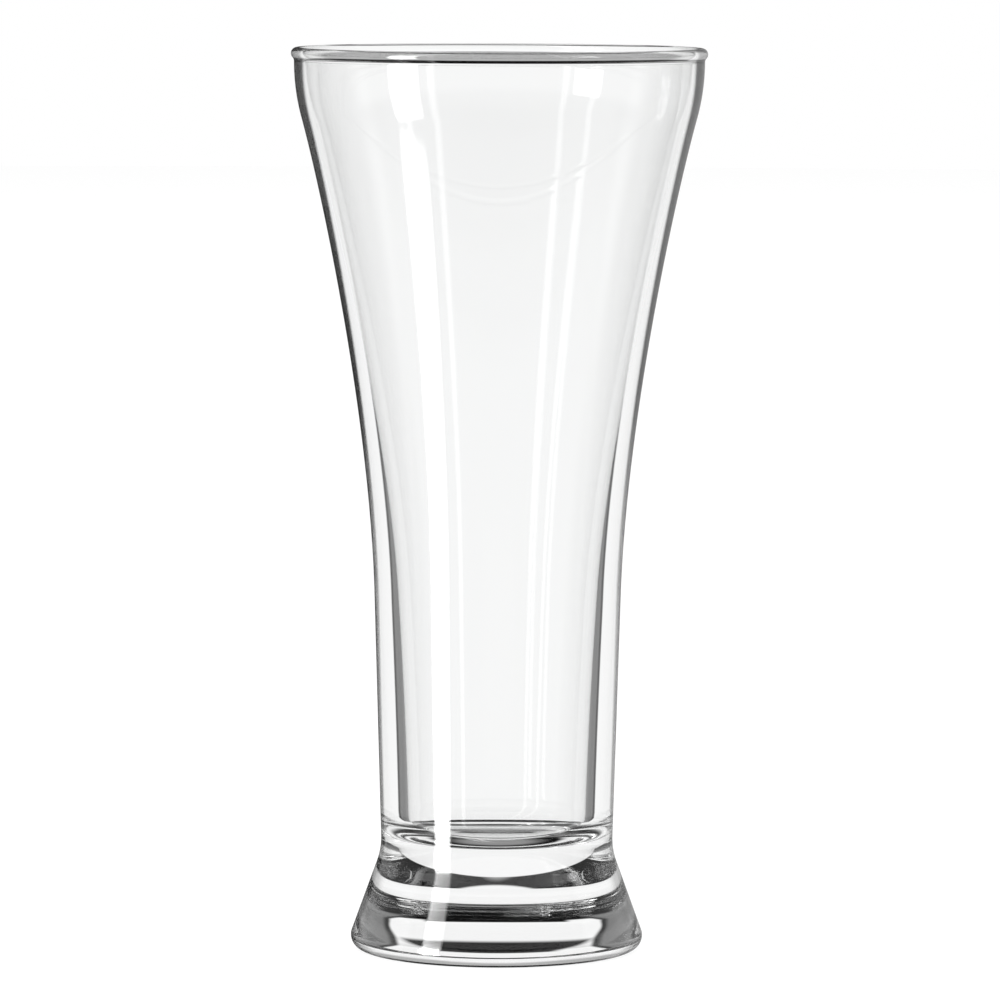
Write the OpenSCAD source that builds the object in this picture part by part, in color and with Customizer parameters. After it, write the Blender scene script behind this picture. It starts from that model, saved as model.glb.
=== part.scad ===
// Flared pilsner glass with a heavy round foot, in one piece of clear pressed glass.
// The glass is one closed profile turned about the Z axis. Millimetres, +Z up,
// origin on the table at the centre of the seat.

/* [Overall] */
// Height from the table to the top of the rim
glass_h = 178.4; // [150:0.2:210]
// Outside diameter over the rim bead
rim_d = 82; // [70:0.5:100]

/* [Foot] */
// Outside diameter of the foot at its widest
foot_d = 57.8; // [54:0.2:68]
// Height from the table to the neck, the narrowest place above the foot
foot_h = 22.4; // [18:0.1:26]
// Radius of the rounded lower edge of the foot
heel_r = 2.7; // [1.5:0.1:4]
// Radius of the hollow curve from the foot's side into the neck
neck_fillet_r = 13.6; // [6:0.2:18]

/* [Underside] */
// Width of the flat ring that the glass stands on
seat_w = 5; // [2:0.1:8]
// Diameter of the round panel in the middle of the underside
panel_d = 29; // [15:0.5:36]
// Height from the table to the edge of that panel
panel_h = 0.35; // [0.2:0.05:2]
// How far the panel rises from its edge to its centre
panel_dome = 0.6; // [0.2:0.1:3]

/* [Lower wall and flare] */
// Outside diameter at the neck
neck_d = 45.9; // [42:0.1:50]
// Outside diameter where the straight lower wall ends and the flare starts
stem_d = 48.7; // [46:0.1:56]
// Height from the table to where the flare starts
flare_z = 70.4; // [50:0.2:95]
// How far the flare holds the lower wall's direction, as a share of its height
flare_low_share = 0.37; // [0.2:0.01:0.6]
// How far the flare holds the shoulder's lean, as a share of its height
flare_high_share = 0.16; // [0.05:0.01:0.4]
// Radius of the shoulder, the round that turns the flare upright below the rim
shoulder_r = 42.4; // [15:0.2:60]
// Lean of the flare from upright where the shoulder starts, in degrees
shoulder_lean = 15.2; // [10:0.2:20]

/* [Inside] */
// Height from the table to the floor of the bowl at its centre
floor_z = 21.6; // [16:0.2:30]
// Radius of the shallow dish of the floor
floor_dish_r = 300; // [60:5:600]
// Radius of the round between the floor and the inner wall
floor_r = 5.5; // [1.5:0.1:8]
// Thickness of the wall just above the floor's round, measured level
wall_base = 5.5; // [3:0.1:7]
// Thickness of the wall below the rim bead, measured level
wall_rim = 1.6; // [1:0.05:2.4]
// Height from the table at which the wall has thinned to its rim thickness
thin_z = 168; // [120:1:172]

/* [Rim] */
// How far the rounded bead around the mouth stands out from the wall below it
bead_out = 0.6; // [0.1:0.05:1]
// How far the bead stands into the mouth
bead_in = 0.15; // [0.05:0.05:0.6]
// Radius of the hollow blend between the bead and the wall on each side
bead_blend_r = 1; // [0.5:0.1:2]

/* [Hidden] */

// Steps along the long flare, along each round and around the axis
flare_steps = 40;
round_steps = 10;
turn_steps = 180;

// Points on a round stretch about centre c, from angle a0 to angle a1
function arc(c, r, a0, a1) =
    [for (i = [0:round_steps]) c + r * unit(a0 + (a1 - a0) * i / round_steps)];

// Unit vector at an angle in the plane of the profile
function unit(a) = [cos(a), sin(a)];

// Angle of a vector in the plane of the profile
function heading(v) = atan2(v[1], v[0]);

// Point at share t of a cubic curve from p[0] to p[3], pulled by p[1] and p[2]
function cubic(p, t) =
    pow(1 - t, 3) * p[0] + 3 * pow(1 - t, 2) * t * p[1]
    + 3 * (1 - t) * t * t * p[2] + pow(t, 3) * p[3];

// Share that eases from 0 to 1 and is level at both ends
function eased(share) = share * share * (3 - 2 * share);

// All but the first point, where a stretch starts on the last point of the one before
function onward(points) = [for (i = [1:len(points) - 1]) points[i]];

// Lower wall: a straight taper from the neck to the start of the flare
neck = [neck_d / 2, foot_h];
flare_start = [stem_d / 2, flare_z];
wall_heading = heading(flare_start - neck);
wall_slope = 1 / tan(wall_heading);

// Foot: the heel round and the neck fillet, joined by the one straight side that
// touches both, with the heel on its inside and the neck fillet on its outside
heel_c = [foot_d / 2 - heel_r, heel_r];
neck_c = neck + neck_fillet_r * unit(wall_heading - 90);
side_heading = heading(neck_c - heel_c) + asin((heel_r + neck_fillet_r) / norm(neck_c - heel_c));
heel = arc(heel_c, heel_r, -90, side_heading - 90);
neck_fillet = arc(neck_c, neck_fillet_r, side_heading + 90, wall_heading + 90);

// Underside: a shallow domed panel and a slope down to the flat seat ring
seat_inner_r = foot_d / 2 - heel_r - seat_w;
panel_half_angle = 2 * atan(2 * panel_dome / panel_d);
panel_r = panel_d / 2 / sin(panel_half_angle);
panel = arc([0, panel_h + panel_dome - panel_r], panel_r, 90, 90 - panel_half_angle);
seat_inner_edge = [seat_inner_r, 0];

// Rim: a round bead blended into the wall by a hollow arc on each side.
// side is 1 on the outside of the wall and -1 on the inside.
bead_r = (bead_out + wall_rim + bead_in) / 2;
bead_c = [rim_d / 2 - bead_r, glass_h - bead_r];
rim_wall_r = rim_d / 2 - bead_out;
function blend_c(wall_r, side) =
    let (x = wall_r + side * bead_blend_r, reach = bead_blend_r + bead_r, off = x - bead_c[0])
    [x, bead_c[1] - sqrt(reach * reach - off * off)];
outer_blend_c = blend_c(rim_wall_r, 1);
inner_blend_c = blend_c(rim_wall_r - wall_rim, -1);
outer_blend_end = heading(bead_c - outer_blend_c);
inner_blend_end = heading(bead_c - inner_blend_c);
outer_blend = arc(outer_blend_c, bead_blend_r, 180, outer_blend_end);
bead = concat(
    arc(bead_c, bead_r, outer_blend_end - 180, 0),
    onward(arc(bead_c, bead_r, 0, 90)),
    onward(arc(bead_c, bead_r, 90, inner_blend_end + 180))
);
inner_blend = arc(inner_blend_c, bead_blend_r, inner_blend_end, 0);

// Flare: leaves the lower wall without a corner, runs without a corner into the
// shoulder and ends upright below the bead
shoulder_c = [rim_wall_r - shoulder_r, outer_blend_c[1]];
shoulder = arc(shoulder_c, shoulder_r, -shoulder_lean, 0);
lean_heading = 90 - shoulder_lean;
flare_rise = shoulder[0][1] - flare_z;
flare_pull = [
    flare_start,
    flare_start + flare_low_share * flare_rise * unit(wall_heading) / sin(wall_heading),
    shoulder[0] - flare_high_share * flare_rise * unit(lean_heading) / sin(lean_heading),
    shoulder[0]
];
flare = concat([for (i = [0:flare_steps]) cubic(flare_pull, i / flare_steps)], onward(shoulder));

// Floor: a round that touches the inner wall's line and the dish, then the dish
// down to the axis. Its centre is where the line that runs floor_r inside the
// inner wall meets the circle that runs floor_r inside the dish.
function lower_wall_r(z) = neck[0] + (z - neck[1]) * wall_slope;
dish_c = [0, floor_z + floor_dish_r];
round_line_r = lower_wall_r(0) - wall_base - floor_r / sin(wall_heading);
meet_a = 1 + wall_slope * wall_slope;
meet_b = round_line_r * wall_slope - dish_c[1];
meet_c = round_line_r * round_line_r + dish_c[1] * dish_c[1] - pow(floor_dish_r - floor_r, 2);
meet_z = (-meet_b - sqrt(meet_b * meet_b - meet_a * meet_c)) / meet_a;
floor_round_c = [round_line_r + wall_slope * meet_z, meet_z];
dish_heading = heading(floor_round_c - dish_c);
floor_round = arc(floor_round_c, floor_r, wall_heading - 90, dish_heading);
dish = arc(dish_c, floor_dish_r, dish_heading, -90);

// Inner wall: the outer wall less a level thickness that eases from wall_base
// at the floor's round to wall_rim at thin_z
floor_round_z = floor_round[0][1];
function thickness(z) =
    let (share = (thin_z - z) / (thin_z - floor_round_z))
    wall_rim + (wall_base - wall_rim) * eased(max(0, min(1, share)));
inner_flare = [for (i = [len(flare) - 1:-1:0]) flare[i] - [thickness(flare[i][1]), 0]];
lower_wall_steps = ceil(flare_steps / 2);
inner_lower_wall = [
    for (i = [1:lower_wall_steps])
        let (z = flare_z + (floor_round_z - flare_z) * i / lower_wall_steps)
        [lower_wall_r(z) - thickness(z), z]
];

module glass() {
    color([0.93, 0.96, 0.96, 0.35])
        rotate_extrude($fn = turn_steps)
            polygon(concat(
                panel, [seat_inner_edge], heel, neck_fillet, flare, onward(outer_blend),
                onward(bead), onward(inner_blend), onward(inner_flare), inner_lower_wall,
                onward(floor_round), onward(dish)
            ));
}

glass();
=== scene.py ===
"""A flared pilsner glass in clear pressed glass, on a pale table in soft studio light."""

import math

import bpy
import numpy as np
from bpy.props import FloatProperty, FloatVectorProperty, IntProperty, PointerProperty
from bpy.types import Operator, Panel, PropertyGroup
from mathutils import Matrix, Vector


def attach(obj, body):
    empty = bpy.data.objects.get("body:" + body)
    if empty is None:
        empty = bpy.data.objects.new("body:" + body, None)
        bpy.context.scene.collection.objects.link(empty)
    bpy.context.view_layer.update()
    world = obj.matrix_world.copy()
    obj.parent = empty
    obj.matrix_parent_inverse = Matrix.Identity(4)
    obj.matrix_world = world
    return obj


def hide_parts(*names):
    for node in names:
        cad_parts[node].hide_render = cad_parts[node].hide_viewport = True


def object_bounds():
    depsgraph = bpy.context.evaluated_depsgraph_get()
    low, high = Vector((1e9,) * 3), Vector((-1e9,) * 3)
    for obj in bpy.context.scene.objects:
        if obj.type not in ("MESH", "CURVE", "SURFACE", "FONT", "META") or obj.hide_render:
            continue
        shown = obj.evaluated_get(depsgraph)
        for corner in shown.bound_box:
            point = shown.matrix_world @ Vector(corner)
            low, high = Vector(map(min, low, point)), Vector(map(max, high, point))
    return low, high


bl_info = {
    "name": "Pilsner Glass",
    "version": (1, 0, 0),
    "blender": (4, 5, 0),
    "location": "3D View > Sidebar > Pilsner",
    "description": "Makes a flared pilsner glass and a plain studio to show it in",
    "category": "Add Mesh",
}

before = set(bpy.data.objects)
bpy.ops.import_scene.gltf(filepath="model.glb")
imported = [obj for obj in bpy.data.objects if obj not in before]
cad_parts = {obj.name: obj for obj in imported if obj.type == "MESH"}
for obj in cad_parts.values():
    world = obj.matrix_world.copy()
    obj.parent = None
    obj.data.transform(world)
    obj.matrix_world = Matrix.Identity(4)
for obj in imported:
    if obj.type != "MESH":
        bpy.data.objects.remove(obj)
cad_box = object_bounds()
cad_low, cad_high = cad_box

MM = 0.001
GLASS_H = cad_high.z - cad_low.z
RIM_D = min(cad_high.x - cad_low.x, cad_high.y - cad_low.y)
SENSOR_W = 36.0
TABLE_STEPS = 96


def size(name, default, description):
    """A length property in metres."""
    return FloatProperty(
        name=name, description=description, default=default, min=0.0,
        subtype="DISTANCE", unit="LENGTH", precision=5,
    )


def share(name, default, description):
    """A property without a unit."""
    return FloatProperty(name=name, description=description, default=default, precision=4)


def angle(name, degrees, description):
    """An angle property, given in degrees."""
    return FloatProperty(
        name=name, description=description, default=math.radians(degrees),
        subtype="ANGLE", unit="ROTATION",
    )


def colour(name, default, description):
    """A colour property."""
    return FloatVectorProperty(
        name=name, description=description, default=default,
        subtype="COLOR", size=3, min=0.0, max=1.0,
    )


class GlassSizes(PropertyGroup):
    """Sizes of the glass."""

    glass_h: size("Height", GLASS_H, "From the table to the top of the rim")
    rim_d: size("Rim diameter", RIM_D, "Outside, over the rim bead")
    foot_d: size("Foot diameter", 57.8 * MM, "Outside, at the widest part of the foot")
    foot_h: size("Foot height", 22.4 * MM, "From the table to the neck")
    heel_r: size("Heel radius", 2.7 * MM, "Rounded lower edge of the foot")
    neck_fillet_r: size("Neck fillet", 13.6 * MM, "Hollow curve from the foot into the neck")
    seat_w: size("Seat width", 5 * MM, "Flat ring that the glass stands on")
    panel_d: size("Panel diameter", 29 * MM, "Round panel in the middle of the underside")
    panel_h: size("Panel height", 0.35 * MM, "From the table to the edge of that panel")
    panel_dome: size("Panel dome", 0.6 * MM, "How far the panel rises from its edge to its centre")
    neck_d: size("Neck diameter", 45.9 * MM, "Outside, at the narrowest place")
    stem_d: size("Flare start diameter", 48.7 * MM, "Outside, where the flare starts")
    flare_z: size("Flare start height", 70.4 * MM, "From the table to where the flare starts")
    flare_low_share: share("Low pull", 0.37, "Share of the flare that keeps the wall's direction")
    flare_high_share: share("High pull", 0.16, "Share of the flare that keeps the shoulder's lean")
    shoulder_r: size("Shoulder radius", 42.4 * MM, "Round that turns the flare upright at the rim")
    shoulder_lean: angle("Shoulder lean", 15.2, "Lean of the flare where that round starts")
    floor_z: size("Floor height", 21.6 * MM, "From the table to the floor of the bowl")
    floor_dish_r: size("Floor dish radius", 300 * MM, "Radius of the shallow dish of the floor")
    floor_r: size("Floor corner", 5.5 * MM, "Round between the floor and the inner wall")
    wall_base: size("Wall at the floor", 5.5 * MM, "Level thickness above the floor")
    wall_rim: size("Wall at the rim", 1.6 * MM, "Level thickness below the bead")
    thin_z: size("Thin height", 168 * MM, "Where the wall has thinned to its rim thickness")
    bead_out: size("Bead outside", 0.6 * MM, "How far the rim's bead stands out from the wall")
    bead_in: size("Bead inside", 0.15 * MM, "How far the bead stands into the mouth")
    bead_blend_r: size("Bead blend", 1 * MM, "Hollow blend between the bead and the wall")
    turn_steps: IntProperty(
        name="Steps around", description="Faces around the glass", default=216, min=32, max=512
    )


class GlassFinish(PropertyGroup):
    """Finish of the clear glass, with the painted shade at its edges."""

    tint: colour("Tint", (0.987, 0.99, 0.989), "Colour of the light that passes each face")
    ior: share("Refractive index", 1.52, "Soda-lime glass")
    shadow_tint: colour("Shadow tint", (0.93, 0.94, 0.94), "Light each face lets into the shadow")
    wave_h: size("Wave height", 0.002 * MM, "Depth of the slow waves that moulding leaves")
    wave_l: size("Wave length", 16 * MM, "Length of those waves")

    wear_h: size("Wear height", 0.05 * MM, "Height of the scuffed band around the seat")
    wear_tint: colour("Worn tint", (0.9, 0.91, 0.91), "Colour of the light that passes the scuffs")
    wear_blend: share("Wear blend", 0.5, "How far the scuffs take that tint")
    wear_rough: share("Wear roughness", 0.12, "Roughness of the scuffs")
    scuff_l: size("Scuff length", 0.25 * MM, "Length of one scuff")
    scuff_start: share("Scuff start", 0.45, "Noise value above which the seat is scuffed")
    scuff_full: share("Scuff full", 0.6, "Noise value from which it is fully scuffed")

    # Painted shade: dark edges along the outline, the foot, the heel and the near side of the bead,
    # in place of the dark room that real glass shows there.
    limb_start: share("Limb start", 0.7, "Facing value where the dark edge of the outline begins")
    limb_full: share("Limb full", 0.755, "Facing value from which that edge is at its darkest")
    limb_high: share("Limb depth above", 0.99, "How dark that edge is in the flare")
    limb_low: share("Limb depth below", 0.7, "How dark that edge is in the lower wall")
    limb_z0: size("Limb change start", 72 * MM, "Height where the edge starts to darken")
    limb_z1: size("Limb change end", 112 * MM, "Height from which it is as dark as in the flare")
    limb_lift: share("Limb lift", 0.6, "Upward lift of the level normal that the edge is told by")
    rim_start: size("Rim change start", 2.6 * MM, "Depth under the top where it starts to pale")
    rim_full: size("Rim change end", 1.6 * MM, "Depth under the top above which it is palest")
    rim_pale: share("Rim pallor", 0.3, "Share of the edge's darkness that is lost there")

    foot_start: share("Foot limb start", 0.52, "Facing value where the foot's dark edge begins")
    foot_full: share("Foot limb full", 0.68, "Facing value from which it is at its darkest")
    foot_limb: share("Foot limb depth", 0.6, "How dark the foot's edge is")
    foot_z0: size("Foot limb bottom", 18 * MM, "Height where the foot's edge starts to pale")
    foot_z1: size("Foot limb top", 24 * MM, "Height where the foot's edge ends")

    heel_start: share("Heel line start", 0.18, "Facing value where the heel's line begins")
    heel_full: share("Heel line full", 0.34, "Facing value from which it is at its darkest")
    heel_limb: share("Heel line depth", 0.75, "How dark the line along the rounded heel is")
    heel_z0: size("Heel line bottom", 1.2 * MM, "Height up to which that line is at its darkest")
    heel_z1: size("Heel line top", 1.7 * MM, "Height where that line ends")

    bead_start: share("Bead facing end", 0.6, "Facing value above which the bead is clear")
    bead_full: share("Bead facing full", 0.45, "Facing value up to which it is at its darkest")
    bead_limb: share("Bead depth", 0.78, "How dark the near side of the rim's bead is")
    bead_z0: size("Bead line start", 2.4 * MM, "Depth under the top where it starts to darken")
    bead_z1: size("Bead line full", 1.8 * MM, "Depth under the top where it is at its darkest")


class StudioSettings(PropertyGroup):
    """Camera, table and light. Angles around are told from straight behind the glass (+Y), or
    from straight in front (-Y) for the key strip and the thin lights, which stand to the
    left (-X)."""

    camera_distance: size("Camera distance", 1384 * MM, "Level distance to the glass's axis")
    camera_height: size("Camera height", 208.6 * MM, "Height of the lens above the table")
    focal_share: share("Focal length", 7.032, "Focal length as a multiple of the image width")
    camera_roll: angle("Camera roll", 0.2, "Lean of the picture")
    aim_shift: size("Sideways aim", 0.4 * MM, "How far right of the axis the camera aims")

    table_r: size("Table radius", 4000 * MM, "Round pale table")
    table_t: size("Table thickness", 40 * MM, "From its top to its underside")
    table_grain: size("Table grain", 30 * MM, "Length of the faint grain of its top")
    table_glow: share("Table glow", 1.04, "Brightness of the white that the camera sees on it")
    table_glow_share: share("Table glow share", 0.75, "Share of that white in what the camera sees")

    lamp_place: FloatVectorProperty(
        name="Lamp place", description="Where the round lamp above the table hangs",
        default=(-0.35, -0.25, 1.1), size=3, subtype="TRANSLATION", unit="LENGTH",
    )
    lamp_d: size("Lamp diameter", 900 * MM, "Width of that lamp")
    lamp_power: FloatProperty(
        name="Lamp power", description="Power of that lamp", default=9.0, min=0.0, unit="POWER"
    )

    backdrop_right: angle("Backdrop right edge", 37.5, "Edge of the bright backdrop at lens height")
    backdrop_left: angle("Backdrop left edge", -36, "Its other edge")
    backdrop_lean: share("Backdrop lean", 0.4, "How far both edges close in for each degree upward")
    backdrop_top: angle("Backdrop top", 16.0, "Elevation at which the backdrop ends")
    backdrop_soft: angle("Backdrop softness", 3, "Width of the backdrop's soft edges")
    table_far: angle("Table far", -20, "Elevation above which the table is dark in reflections")
    table_near: angle("Table near", -26, "Elevation below which reflections show the lit table")

    gap_start: angle("Gap start", 2, "Angle past the backdrop's edge where the room starts to show")
    gap_end: angle("Gap end", 6, "Angle past that edge from which it shows in full")
    side_level: share("Side level", 0.17, "Brightness of the room beside the backdrop")
    wide_start: angle("Wide start", 52, "Angle where the room starts to brighten to the sides")
    wide_end: angle("Wide end", 66, "Angle from which it has brightened")
    wide_level: share("Wide level", 0.2, "Further brightness from there on")
    far_start: angle("Far start", 78, "Angle where the room starts to brighten beside the glass")
    far_end: angle("Far end", 90, "Angle from which it has brightened, and in front")
    far_high: angle("Far top", 20, "Elevation above which that light is gone")
    far_low: angle("Far fade", 14, "Elevation below which that light is full")
    far_level: share("Far level", 0.6, "Further brightness from there on")
    sides_high: angle("Sides top", 30, "Elevation above which the room is dark")
    sides_low: angle("Sides fade", 20, "Elevation below which the room shows in full")

    behind_full: angle("Behind full", 28, "Angle up to which the outside mirrors the room behind")
    behind_end: angle("Behind end", 36, "Angle where that light ends")
    left_level: share("Left level", 0.06, "Room behind to the left, mirrored by the outside")
    right_level: share("Right level", 0.36, "Room behind to the right, mirrored by the outside")
    right_start: angle("Right start", -2, "Angle where the left brightness starts to change")
    right_full: angle("Right full", 6, "Angle from which the right brightness holds")
    beside_start: angle("Beside start", 32, "Angle where the light beside the glass starts")
    beside_end: angle("Beside end", 100, "Angle where the light beside the glass ends")
    beside_soft: angle("Beside softness", 8, "Width of that light's soft edges")
    beside_level: share("Beside level", 0.5, "Room beside the glass, mirrored by the outside")

    front_start: share("Front start", -0.1, "Part of a direction along -Y where the front starts")
    front_full: share("Front full", 0.3, "Part along -Y from which it is full")
    front_high: angle("Front top", 32, "Elevation above which the front is dark")
    front_low: angle("Front fade", 24, "Elevation below which the front is full")
    front_level: share("Front level", 0.6, "Least brightness of the front, in the far wall")

    strip_near: angle("Strip near edge", 47.5, "Key strip's edge nearer the front")
    strip_far: angle("Strip far edge", 64, "Key strip's other edge")
    strip_soft: angle("Strip softness", 4, "Soft edge of the key strip")
    strip_low: angle("Strip foot", -28.5, "Elevation at which the key strip ends")
    strip_fade: angle("Strip fade", 6, "Height over which the strip's foot fades")
    strip_high: angle("Strip top", 16, "Elevation of the strip's top, as the inside mirrors it")
    top_start: angle("Top fade start", 20, "Elevation where the outside's strip starts to fade")
    top_end: angle("Top fade end", 30, "Elevation where that fade ends")
    top_fade: share("Top fade", 0.8, "Share of the strip's light that is lost there")
    strip_level: share("Strip level", 24.0, "Brightness of the key strip in reflections")
    line_near: angle("Near line", 38, "Edge of the thin light nearer the front")
    line_far: angle("Far line", 57, "Edge of the other thin light")
    line_w: angle("Line width", 4, "Width of each thin light")
    line_soft: angle("Line softness", 3, "Soft edges of the thin lights")
    line_level: share("Line level", 2.6, "Brightness of the thin lights in the far wall")

    shade_far: angle("Shade far edge", -33.55, "Elevation under which straight rays meet the shade")
    shade_near: angle("Shade near edge", -45, "Elevation at which the shade ends for straight rays")
    shade_soft: angle("Shade softness", 0.6, "Width of the shade's soft edges for straight rays")
    mirror_start: angle("Mirrored shade", -28, "Elevation where reflected rays start to darken")
    mirror_end: angle("Mirrored shade end", -42, "Elevation from which they are in the shade")
    under_start: angle("Below start", -45, "Elevation where the shade starts to pale for them")
    under_full: angle("Below full", -72, "Elevation from which it is palest")
    under_level: share("Level below", 0.3, "Brightness of the shade there")
    room: share("Room level", 0.005, "Least brightness of anything that the glass shows")


class Wire:
    """A socket of a node tree, on which Python's operators add Math nodes."""

    def __init__(self, tree, socket):
        self.tree, self.socket = tree, socket

    def math(self, operation, *others, clamp=False):
        """Adds a Math node on this value and the others."""
        return self.tree.node(
            "ShaderNodeMath", {"operation": operation, "use_clamp": clamp}, [self, *others]
        )[0]

    def __add__(self, other): return self.math("ADD", other)
    def __sub__(self, other): return self.math("SUBTRACT", other)
    def __mul__(self, other): return self.math("MULTIPLY", other)
    def __truediv__(self, other): return self.math("DIVIDE", other)
    def __neg__(self): return self.math("MULTIPLY", -1.0)
    def __abs__(self): return self.math("ABSOLUTE")
    def __rsub__(self, other): return (-self).math("ADD", other)
    __radd__, __rmul__ = __add__, __mul__

    def top(self, other):
        """The larger of two values."""
        return self.math("MAXIMUM", other)

    def ramp(self, start, end):
        """0 up to start and 1 from end, easing between them; falls where end is under start."""
        return self.tree.node(
            "ShaderNodeMapRange", {"interpolation_type": "SMOOTHSTEP"}, [self, start, end, 0.0, 1.0]
        )[0]

    def band(self, start, end, soft):
        """1 between start and end, with soft edges centred on them."""
        half = soft / 2
        return self.ramp(start - half, start + half) * self.ramp(end + half, end - half)


class Tree:
    """A material's or world's node tree, cleared, with one method that adds any node."""

    def __init__(self, owner):
        owner.use_nodes = True
        self.tree = owner.node_tree
        self.tree.nodes.clear()

    def node(self, kind, settings=None, inputs=()):
        """Adds a node, sets its settings, then fills its inputs, and returns its outputs."""
        made = self.tree.nodes.new(kind)
        for name, value in (settings or {}).items():
            setattr(made, name, value)
        pairs = inputs.items() if isinstance(inputs, dict) else enumerate(inputs)
        for key, value in pairs:
            if isinstance(value, Wire):
                self.tree.links.new(value.socket, made.inputs[key])
            elif value is not None:
                made.inputs[key].default_value = value
        return Outputs(self, made)


class Outputs:
    """The outputs of a node, by name or by place."""

    def __init__(self, tree, made):
        self.tree, self.made = tree, made

    def __getitem__(self, key):
        return Wire(self.tree, self.made.outputs[key])


def arc(centre, radius, start, end, steps):
    """Points of a circle about centre, from angle start to angle end in radians."""
    a = np.linspace(start, end, steps + 1)
    return np.stack([centre[0] + radius * np.cos(a), centre[1] + radius * np.sin(a)], 1)


def unit(a):
    """Unit vector at angle a."""
    return np.array([math.cos(a), math.sin(a)])


def heading(v):
    """Angle of a vector in the plane of the profile."""
    return math.atan2(v[1], v[0])


def cubic(p, steps):
    """Cubic curve (1-t)^3 a + 3(1-t)^2 t b + 3(1-t) t^2 c + t^3 d for t from 0 to 1."""
    t = np.linspace(0, 1, steps + 1)[:, None]
    a, b, c, d = p
    return (1 - t) ** 3 * a + 3 * (1 - t) ** 2 * t * b + 3 * (1 - t) * t**2 * c + t**3 * d


def eased(x):
    """3x^2 - 2x^3 on x held between 0 and 1."""
    x = np.clip(x, 0, 1)
    return x * x * (3 - 2 * x)


def glass_profile(s):
    """Closed outline of the glass from the axis underneath, out over the foot, up the outside,
    over the bead and down the inside to the axis on the floor, as rows of radius and height,
    and for each row whether it lies on the outside, between the seat and the top of the bead."""
    quarter, turn = math.pi / 2, math.pi
    neck = np.array([s.neck_d / 2, s.foot_h])
    flare_start = np.array([s.stem_d / 2, s.flare_z])
    wall_heading = heading(flare_start - neck)

    # The foot's side is the straight line that touches the heel's round and the neck's hollow.
    heel_c = np.array([s.foot_d / 2 - s.heel_r, s.heel_r])
    neck_c = neck + s.neck_fillet_r * unit(wall_heading - quarter)
    across = neck_c - heel_c
    reach = math.hypot(*across)
    side_heading = heading(across) + math.asin((s.heel_r + s.neck_fillet_r) / reach)
    heel = arc(heel_c, s.heel_r, -quarter, side_heading - quarter, steps=24)
    neck_fillet = arc(
        neck_c, s.neck_fillet_r, side_heading + quarter, wall_heading + quarter, steps=20
    )
    foot_side = np.linspace(heel[-1], neck_fillet[0], 12)[1:-1]

    seat_outer_r = s.foot_d / 2 - s.heel_r
    seat_inner_r = seat_outer_r - s.seat_w
    panel_half = 2 * math.atan(2 * s.panel_dome / s.panel_d)
    panel_r = s.panel_d / 2 / math.sin(panel_half)
    panel_c = (0, s.panel_h + s.panel_dome - panel_r)
    panel = arc(panel_c, panel_r, quarter, quarter - panel_half, steps=24)
    slope = np.linspace(panel[-1], (seat_inner_r, 0), 8)[1:]
    seat = np.linspace(slope[-1], heel[0], 8)[1:-1]

    bead_r = (s.bead_out + s.wall_rim + s.bead_in) / 2
    bead_c = np.array([s.rim_d / 2 - bead_r, s.glass_h - bead_r])
    rim_wall_r = s.rim_d / 2 - s.bead_out

    def blend_c(wall_r, outward):
        """Centre of the hollow that touches the wall and the bead, outside (1) or inside (-1)."""
        x = wall_r + outward * s.bead_blend_r
        far = s.bead_blend_r + bead_r
        return np.array([x, bead_c[1] - math.sqrt(far**2 - (x - bead_c[0]) ** 2)])

    outer_c, inner_c = blend_c(rim_wall_r, 1), blend_c(rim_wall_r - s.wall_rim, -1)
    outer_end, inner_end = heading(bead_c - outer_c), heading(bead_c - inner_c)
    outer_blend = arc(outer_c, s.bead_blend_r, turn, outer_end, steps=8)
    bead = np.concatenate([
        arc(bead_c, bead_r, outer_end - turn, 0, steps=8),
        arc(bead_c, bead_r, 0, quarter, steps=10)[1:],
        arc(bead_c, bead_r, quarter, inner_end + turn, steps=16)[1:],
    ])
    inner_blend = arc(inner_c, s.bead_blend_r, inner_end, 0, steps=8)

    flare_end = np.array([rim_wall_r, outer_c[1]])
    shoulder_c = flare_end - np.array([s.shoulder_r, 0])
    shoulder = arc(shoulder_c, s.shoulder_r, -s.shoulder_lean, 0, steps=24)
    lean_heading = quarter - s.shoulder_lean
    rise = shoulder[0][1] - s.flare_z
    low = flare_start + s.flare_low_share * rise * unit(wall_heading) / math.sin(wall_heading)
    high = shoulder[0] - s.flare_high_share * rise * unit(lean_heading) / math.sin(lean_heading)
    flare = cubic((flare_start, low, high, shoulder[0]), steps=72)
    flare = np.concatenate([flare, shoulder[1:]])

    # The floor's round touches the inner wall's line and the dish, so its centre lies where the
    # line floor_r inside the wall meets the circle floor_r inside the dish.
    lean = (flare_start[0] - neck[0]) / (flare_start[1] - neck[1])
    dish_c = np.array([0, s.floor_z + s.floor_dish_r])
    line_r = neck[0] - neck[1] * lean - s.wall_base - s.floor_r / math.sin(wall_heading)
    a, b = 1 + lean**2, line_r * lean - dish_c[1]
    c = line_r**2 + dish_c[1] ** 2 - (s.floor_dish_r - s.floor_r) ** 2
    round_z = (-b - math.sqrt(b * b - a * c)) / a
    round_c = np.array([line_r + lean * round_z, round_z])
    dish_heading = heading(round_c - dish_c)
    corner = arc(round_c, s.floor_r, wall_heading - quarter, dish_heading, steps=24)
    dish = arc(dish_c, s.floor_dish_r, dish_heading, -quarter, steps=16)
    corner_z = corner[0][1]

    def thickness(z):
        """wall_rim plus the rest of wall_base, eased out from the floor's round up to thin_z."""
        x = (s.thin_z - z) / (s.thin_z - corner_z)
        return s.wall_rim + (s.wall_base - s.wall_rim) * eased(x)

    lower = np.linspace(neck_fillet[-1], flare[0], 30)[1:-1]
    inner_flare = flare[::-1].copy()
    inner_flare[:, 0] -= thickness(inner_flare[:, 1])
    z = np.linspace(s.flare_z, corner_z, 40)[1:]
    inner_lower = np.stack([neck[0] + (z - neck[1]) * lean - thickness(z), z], 1)

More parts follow.
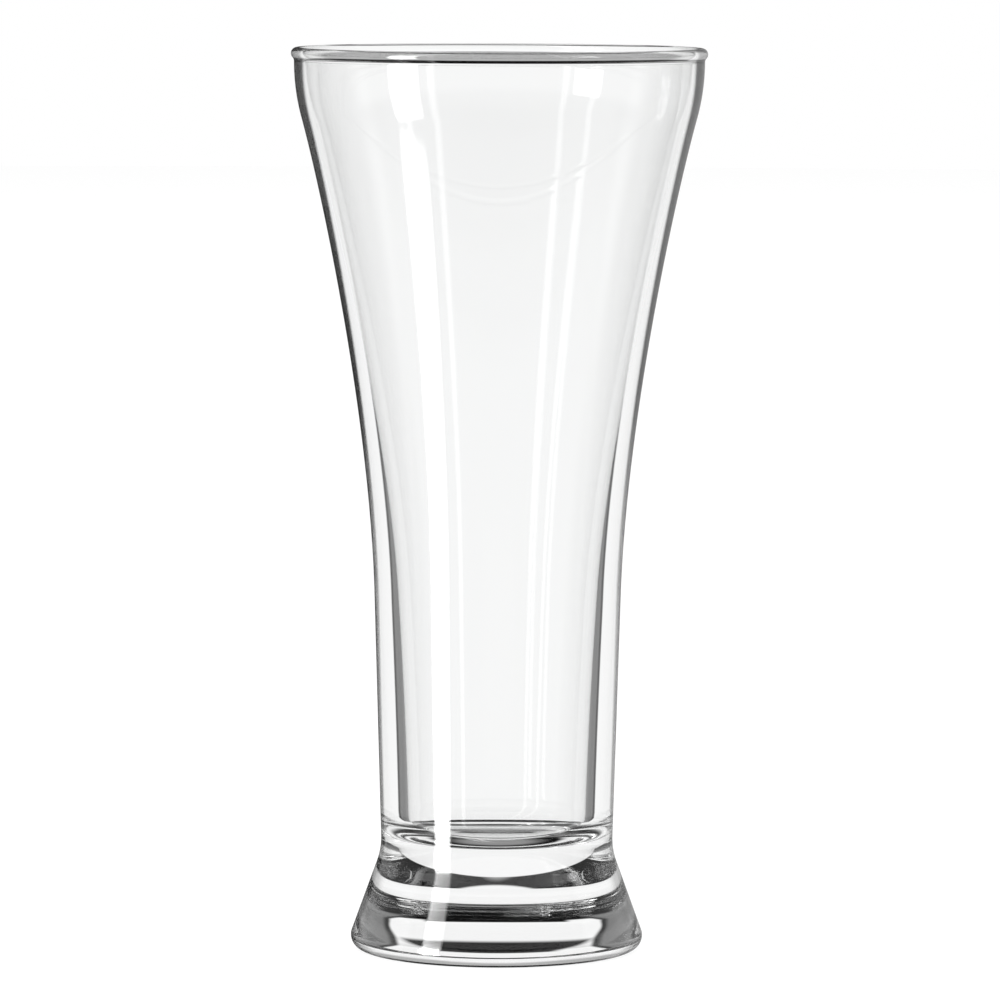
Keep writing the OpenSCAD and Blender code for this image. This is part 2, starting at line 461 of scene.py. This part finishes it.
    under = np.concatenate([panel, slope, seat])
    outside = np.concatenate(
        [heel, foot_side, neck_fillet, lower, flare, outer_blend[1:], bead[1:]]
    )
    inside = np.concatenate([inner_blend[1:], inner_flare[1:], inner_lower, corner[1:], dish[1:]])
    rows = np.concatenate([under, outside, inside])
    rows[[0, -1], 0] = 0
    on_outside = np.zeros(len(rows))
    on_outside[len(under):rows[:, 1].argmax() + 1] = 1
    return rows, on_outside


def turned(name, rows, steps):
    """Turns rows of radius r and height z about the Z axis: x = r cos v, y = r sin v, z = z,
    on a grid of rows by steps. The first and last rows are single points on the axis."""
    v = np.arange(steps) * (2 * math.pi / steps)
    r, z = rows[1:-1, 0, None], rows[1:-1, 1, None]
    grid = np.stack([r * np.cos(v), r * np.sin(v), np.broadcast_to(z, (len(r), steps))], -1)
    points = np.concatenate([grid.reshape(-1, 3), [[0, 0, rows[0, 1]], [0, 0, rows[-1, 1]]]])
    first, last = len(points) - 2, len(points) - 1
    here, after = np.arange(steps), np.roll(np.arange(steps), -1)
    base = (np.arange(len(r) - 1) * steps)[:, None]
    quads = np.stack([base + here, base + after, base + steps + after, base + steps + here], -1)
    end = (len(r) - 1) * steps
    start_fan = np.stack([np.full(steps, first), after, here], -1)
    end_fan = np.stack([np.full(steps, last), end + here, end + after], -1)
    mesh = bpy.data.meshes.new(name)
    faces = quads.reshape(-1, 4).tolist() + start_fan.tolist() + end_fan.tolist()
    mesh.from_pydata(points.tolist(), [], faces)
    mesh.polygons.foreach_set("use_smooth", np.ones(len(mesh.polygons), bool))
    mesh.update()
    made = bpy.data.objects.new(name, mesh)
    bpy.context.scene.collection.objects.link(made)
    return made


def level_facing(tree, normal, lift):
    """Facing value of the normal laid level and lifted: (nx, ny, 0) made a unit vector, plus
    (0, 0, lift), made a unit vector again. It keeps the outline's edge narrow from above."""
    flat = tree.node("ShaderNodeVectorMath", {"operation": "MULTIPLY"}, [normal, (1, 1, 0)])[0]
    flat = tree.node("ShaderNodeVectorMath", {"operation": "NORMALIZE"}, [flat])[0]
    raised = tree.node("ShaderNodeVectorMath", {"operation": "ADD"}, [flat, (0, 0, lift)])[0]
    raised = tree.node("ShaderNodeVectorMath", {"operation": "NORMALIZE"}, [raised])[0]
    return tree.node("ShaderNodeLayerWeight", None, {"Blend": 0.5, "Normal": raised})["Facing"]


def painted_edge_shade(tree, f, height, normal, top):
    """Painted shade on the outside, from 0 to 1, that darkens the light entering there in place of
    the dark room that real glass shows at its edges: the largest of four masks, for the wall's
    outline, the foot's outline, a line along the heel and the near side of the bead. A facing value
    is 0 where the face looks at the viewer and 1 where it is seen edge-on."""
    facing = tree.node("ShaderNodeLayerWeight", None, [0.5])["Facing"]
    # Painted shade: each mask darkens the glass where the dark parts of the room would show through
    # it.
    depth = f.limb_low + height.ramp(f.limb_z0, f.limb_z1) * (f.limb_high - f.limb_low)
    wall = level_facing(tree, normal, f.limb_lift).ramp(f.limb_start, f.limb_full) * depth
    wall = wall * (1 - height.ramp(top - f.rim_start, top - f.rim_full) * f.rim_pale)
    foot = facing.ramp(f.foot_start, f.foot_full) * height.ramp(f.foot_z1, f.foot_z0) * f.foot_limb
    heel = facing.ramp(f.heel_start, f.heel_full) * height.ramp(f.heel_z1, f.heel_z0) * f.heel_limb
    bead = height.ramp(top - f.bead_z0, top - f.bead_z1)
    bead = bead * facing.ramp(f.bead_start, f.bead_full) * f.bead_limb
    outside = tree.node("ShaderNodeAttribute", {"attribute_name": "outside"})["Fac"]
    leaving = tree.node("ShaderNodeNewGeometry")["Backfacing"]
    return wall.top(foot).top(heel).top(bead) * outside * (1 - leaving)


def clear_glass(f, top):
    """Polished clear glass up to the height top, with faint moulding waves, fine scuffs where it
    stands and painted shade along its edges. Its shadow is the pale one of clear glass."""
    material = bpy.data.materials.new("clear_glass")
    tree = Tree(material)
    coordinates = tree.node("ShaderNodeTexCoord")
    place, normal = coordinates["Object"], coordinates["Normal"]
    height = tree.node("ShaderNodeSeparateXYZ", None, [place])["Z"]
    waves = tree.node(
        "ShaderNodeTexNoise", None, {"Vector": place, "Scale": 1 / f.wave_l, "Detail": 1.0}
    )["Fac"]
    bump = tree.node(
        "ShaderNodeBump", None, {"Height": waves, "Distance": f.wave_h, "Strength": 1.0}
    )["Normal"]
    scuffs = tree.node(
        "ShaderNodeTexNoise", None, {"Vector": place, "Scale": 1 / f.scuff_l, "Detail": 3.0}
    )["Fac"]
    worn = height.ramp(f.wear_h, 0.0) * scuffs.ramp(f.scuff_start, f.scuff_full)
    tint = tree.node(
        "ShaderNodeMix", {"data_type": "RGBA"},
        {"Factor": worn * f.wear_blend, 6: (*f.tint, 1.0), 7: (*f.wear_tint, 1.0)},
    )[2]
    # Painted shade at the glass's edges, mixed into its tint toward black.
    dark = painted_edge_shade(tree, f, height, normal, top)
    tint = tree.node(
        "ShaderNodeMix", {"data_type": "RGBA"}, {"Factor": dark, 6: tint, 7: (0, 0, 0, 1.0)}
    )[2]
    body = tree.node("ShaderNodeBsdfPrincipled", None, {
        "Base Color": tint, "Roughness": worn * f.wear_rough, "Normal": bump, "IOR": f.ior,
        "Transmission Weight": 1.0,
    })["BSDF"]
    see = tree.node("ShaderNodeBsdfTransparent", None, [(*f.shadow_tint, 1.0)])["BSDF"]
    shadow = tree.node("ShaderNodeLightPath")["Is Shadow Ray"]
    both = tree.node("ShaderNodeMixShader", None, [shadow, body, see])["Shader"]
    tree.node("ShaderNodeOutputMaterial", None, {"Surface": both})
    return material


def studio_world(s):
    """White for the camera and for the light on the table. What the glass shows is told by the
    ray's fixed direction and by how it came. A ray that was never reflected sees white up to the
    backdrop's top, but for the shade between two low angles. One reflected inside the glass sees
    the backdrop, the table and the room, with the key strip, or two thin lights where it comes
    out again, and at least the front's light once it has passed the near wall. One reflected by
    the outside sees the key strip and the room. Both kinds darken toward the table below."""
    world = bpy.data.worlds.new("studio")
    tree = Tree(world)
    way = tree.node("ShaderNodeSeparateXYZ", None, [tree.node("ShaderNodeTexCoord")["Generated"]])
    x, y, z = way["X"], way["Y"], way["Z"]
    around = x.math("ARCTAN2", y)
    wide = abs(around)
    from_front = (-x).math("ARCTAN2", -y)
    up = z.math("ARCSINE")

    path = tree.node("ShaderNodeLightPath")
    camera, leaving = path["Is Camera Ray"], path["Is Transmission Ray"]
    mirrored = path["Glossy Depth"].math("MINIMUM", 1.0)
    passed = path["Transmission Depth"].math("MINIMUM", 1.0)
    past_near_wall = (path["Transmission Depth"] - 2).math("MINIMUM", 1.0, clamp=True)

    # The backdrop is a flat panel, so its top is told by the tangent z / y, with y kept above 0.
    half = s.backdrop_soft / 2
    lean = up * s.backdrop_lean
    to_left, to_right = around - lean, around + lean
    steep = (z / y.top(0.05)).math("ARCTANGENT")
    backdrop = to_left.ramp(s.backdrop_left - half, s.backdrop_left + half)
    backdrop = backdrop * to_right.ramp(s.backdrop_right + half, s.backdrop_right - half)
    backdrop = backdrop * steep.ramp(s.backdrop_top + half, s.backdrop_top - half)

    sides = to_right.ramp(s.backdrop_right + s.gap_start, s.backdrop_right + s.gap_end)
    sides = sides + to_left.ramp(s.backdrop_left - s.gap_start, s.backdrop_left - s.gap_end)
    sides = sides * s.side_level + wide.ramp(s.wide_start, s.wide_end) * s.wide_level
    far = wide.ramp(s.far_start, s.far_end) * up.ramp(s.far_high, s.far_low)
    sides = (sides + far * s.far_level) * up.ramp(s.sides_high, s.sides_low)
    lit = backdrop.top(up.ramp(s.table_far, s.table_near)).top(sides)

    strip = from_front.band(s.strip_near, s.strip_far, s.strip_soft)
    strip = strip * up.ramp(s.strip_low, s.strip_low + s.strip_fade)
    strip_inside = strip * up.ramp(s.strip_high + half, s.strip_high - half) * s.strip_level
    lines = from_front.band(s.line_near, s.line_near + s.line_w, s.line_soft)
    lines = lines + from_front.band(s.line_far, s.line_far + s.line_w, s.line_soft)
    front = (-y).ramp(s.front_start, s.front_full) * up.ramp(s.front_high, s.front_low)
    inside = lit + (1 - leaving) * strip_inside + leaving * lines * s.line_level
    inside = inside.top(past_near_wall * front * s.front_level)

    right = around.ramp(s.right_start, s.right_full)
    behind = wide.ramp(s.behind_end, s.behind_full)
    behind = behind * (s.left_level + right * (s.right_level - s.left_level))
    beside = wide.band(s.beside_start, s.beside_end, s.beside_soft) * s.beside_level
    strip_outside = strip * (1 - up.ramp(s.top_start, s.top_end) * s.top_fade) * s.strip_level
    outside = strip_outside + behind + beside

    straight = up.ramp(s.backdrop_top + half, s.backdrop_top - half)
    seen = (1 - mirrored) * straight + mirrored * (passed * inside + (1 - passed) * outside)
    half = s.shade_soft / 2
    shade = up.ramp(s.shade_far + half, s.shade_far - half)
    shade = shade * up.ramp(s.shade_near - half, s.shade_near + half)
    shade = (1 - mirrored) * shade + mirrored * up.ramp(s.mirror_start, s.mirror_end)
    seen = seen * (1 - shade * (1 - up.ramp(s.under_start, s.under_full) * s.under_level))
    seen = seen * (1 - s.room) + s.room

    in_glass = path["Is Glossy Ray"].top(leaving)
    strength = camera + (1 - camera) * (in_glass * seen + (1 - in_glass))
    light = tree.node("ShaderNodeBackground", None, {"Color": (1, 1, 1, 1), "Strength": strength})
    tree.node("ShaderNodeOutputWorld", None, {"Surface": light["Background"]})
    return world


def table_top(s):
    """Pale matt table with a trace of grain; the camera sees it as white, less its shadows."""
    material = bpy.data.materials.new("table_top")
    tree = Tree(material)
    place = tree.node("ShaderNodeTexCoord")["Object"]
    grain = tree.node(
        "ShaderNodeTexNoise", None, {"Vector": place, "Scale": 1 / s.table_grain, "Detail": 2.0}
    )["Fac"]
    pale = tree.node(
        "ShaderNodeMix", {"data_type": "RGBA"},
        {"Factor": grain, 6: (0.97, 0.97, 0.97, 1.0), 7: (0.98, 0.98, 0.98, 1.0)},
    )[2]
    matt = tree.node("ShaderNodeBsdfDiffuse", None, {"Color": pale})["BSDF"]
    white = tree.node(
        "ShaderNodeEmission", None, {"Color": (1, 1, 1, 1), "Strength": s.table_glow}
    )["Emission"]
    camera = tree.node("ShaderNodeLightPath")["Is Camera Ray"]
    both = tree.node("ShaderNodeMixShader", None, [camera * s.table_glow_share, matt, white])
    tree.node("ShaderNodeOutputMaterial", None, {"Surface": both["Shader"]})
    return material


def table(s):
    """Round table with its top at height 0, which the glass's reflections don't see."""
    r, t = s.table_r, s.table_t
    rows = np.array([[0, -t], [r, -t], [r, 0], [r / 2, 0], [0, 0]])
    made = turned("table", rows, TABLE_STEPS)
    made.data.materials.append(table_top(s))
    made.visible_glossy = made.visible_transmission = False
    return made


def overhead_lamp(s):
    """Round lamp above the table, aimed at the origin, that only lights what it falls on."""
    lamp = bpy.data.lights.new("overhead", "AREA")
    lamp.shape, lamp.size, lamp.energy = "DISK", s.lamp_d, s.lamp_power
    made = bpy.data.objects.new("overhead", lamp)
    made.location = s.lamp_place
    made.rotation_euler = (Vector() - made.location).to_track_quat("-Z", "Y").to_euler()
    made.visible_camera = made.visible_glossy = made.visible_transmission = False
    bpy.context.scene.collection.objects.link(made)


def photo_camera(s):
    """Camera in front of the glass, aimed at half its height and a little to the right."""
    data = bpy.data.cameras.new("camera")
    data.sensor_width = SENSOR_W
    data.lens = s.focal_share * SENSOR_W
    made = bpy.data.objects.new("camera", data)
    made.location = (0.0, -s.camera_distance, s.camera_height)
    aim = Vector((s.aim_shift, 0.0, cad_high.z / 2)) - made.location
    turn = aim.to_track_quat("-Z", "Y").to_matrix().to_4x4()
    roll = Matrix.Rotation(s.camera_roll, 4, "Z")
    made.matrix_world = Matrix.Translation(made.location) @ turn @ roll
    bpy.context.scene.collection.objects.link(made)
    return made


class PILSNER_OT_glass(Operator):
    """Make the glass as one turned body of clear glass"""

    bl_idname = "pilsner.glass"
    bl_label = "Glass"

    def execute(self, context):
        sizes, finish = context.scene.pilsner_sizes, context.scene.pilsner_finish
        rows, on_outside = glass_profile(sizes)
        made = turned("pilsner_glass", rows, sizes.turn_steps)
        marks = np.repeat(on_outside[1:-1], sizes.turn_steps)
        outside = made.data.attributes.new("outside", "FLOAT", "POINT")
        outside.data.foreach_set("value", np.append(marks, on_outside[[0, -1]]))
        made.data.materials.append(clear_glass(finish, sizes.glass_h))
        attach(made, "root")
        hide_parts("glass")
        return {"FINISHED"}


class PILSNER_OT_stage(Operator):
    """Make the table, the studio light and the camera"""

    bl_idname = "pilsner.stage"
    bl_label = "Stage"

    def execute(self, context):
        scene, studio = context.scene, context.scene.pilsner_studio
        scene.world = studio_world(studio)
        table(studio)
        overhead_lamp(studio)
        scene.camera = photo_camera(studio)
        scene.view_settings.view_transform = "Standard"
        scene.cycles.max_bounces = 48
        scene.cycles.transmission_bounces = 40
        scene.cycles.glossy_bounces = 40
        return {"FINISHED"}


class PILSNER_PT_panel(Panel):
    """Panel that lists the operators"""

    bl_label = "Pilsner Glass"
    bl_idname = "PILSNER_PT_panel"
    bl_space_type = "VIEW_3D"
    bl_region_type = "UI"
    bl_category = "Pilsner"

    def draw(self, context):
        for operator in OPERATORS:
            self.layout.operator(operator.bl_idname)


OPERATORS = (PILSNER_OT_glass, PILSNER_OT_stage)
GROUPS = {
    "pilsner_sizes": GlassSizes, "pilsner_finish": GlassFinish, "pilsner_studio": StudioSettings
}


def register():
    """Registers the groups of settings, the operators and the panel."""
    for kind in (*GROUPS.values(), *OPERATORS, PILSNER_PT_panel):
        bpy.utils.register_class(kind)
    for name, kind in GROUPS.items():
        setattr(bpy.types.Scene, name, PointerProperty(type=kind))


def unregister():
    """Undoes register."""
    for name in GROUPS:
        delattr(bpy.types.Scene, name)
    for kind in reversed((*GROUPS.values(), *OPERATORS, PILSNER_PT_panel)):
        bpy.utils.unregister_class(kind)


def main():
    register()
    bpy.ops.pilsner.glass()
    bpy.ops.pilsner.stage()


if __name__ == "__main__":
    main()
